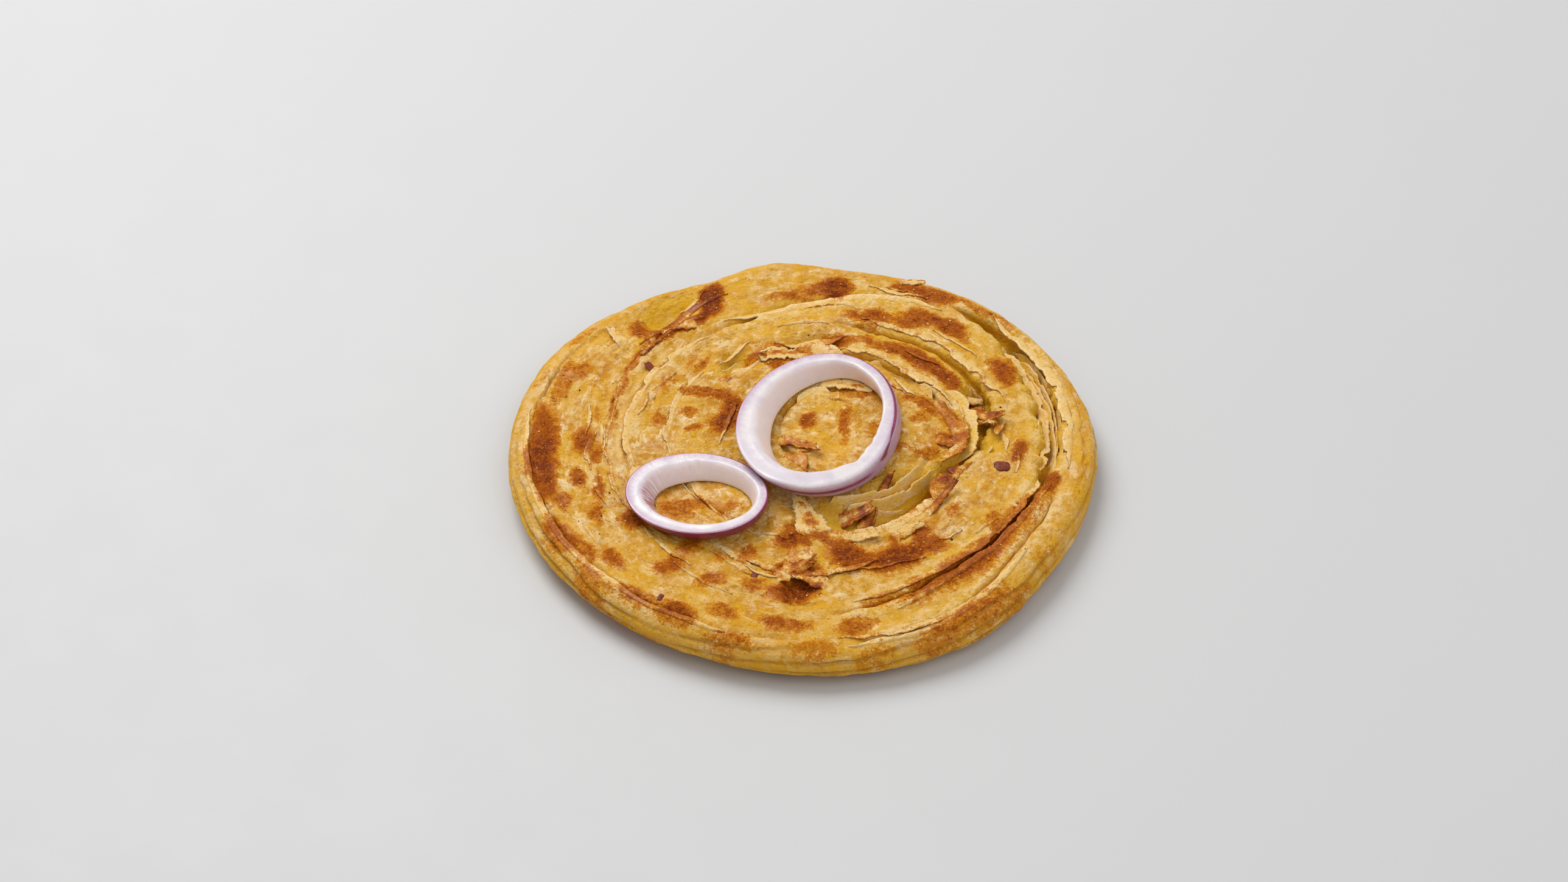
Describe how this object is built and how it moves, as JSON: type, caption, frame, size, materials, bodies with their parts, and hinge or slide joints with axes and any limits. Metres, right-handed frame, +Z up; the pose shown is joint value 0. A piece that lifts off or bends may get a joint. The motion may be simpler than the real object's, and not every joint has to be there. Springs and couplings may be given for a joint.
{
  "type": "flaky coiled flatbread",
  "caption": "Flaky coiled flatbread, pan-browned, with slices of raw red onion lying on top; lies flat on a table or plate.",
  "frame": {"origin": "middle of the bread's outline, at the level of the table it lies on", "axes": "+Z up through the bread, browned side up; -Y towards the viewer, +X to the viewer's right"},
  "size_m": [0.179, 0.1756, 0.0219],
  "materials": {
    "bread": "pan-browned flaky dough with a slight sheen of oil; matte plastic stands in for bread",
    "onion": "moist white-lilac onion flesh with a purple skin; gloss plastic stands in for onion"
  },
  "bodies": {
    "root": {"paratha": "bread", "onion_ring_small": "onion", "onion_ring_large": "onion"}
  },
  "joints": []
}
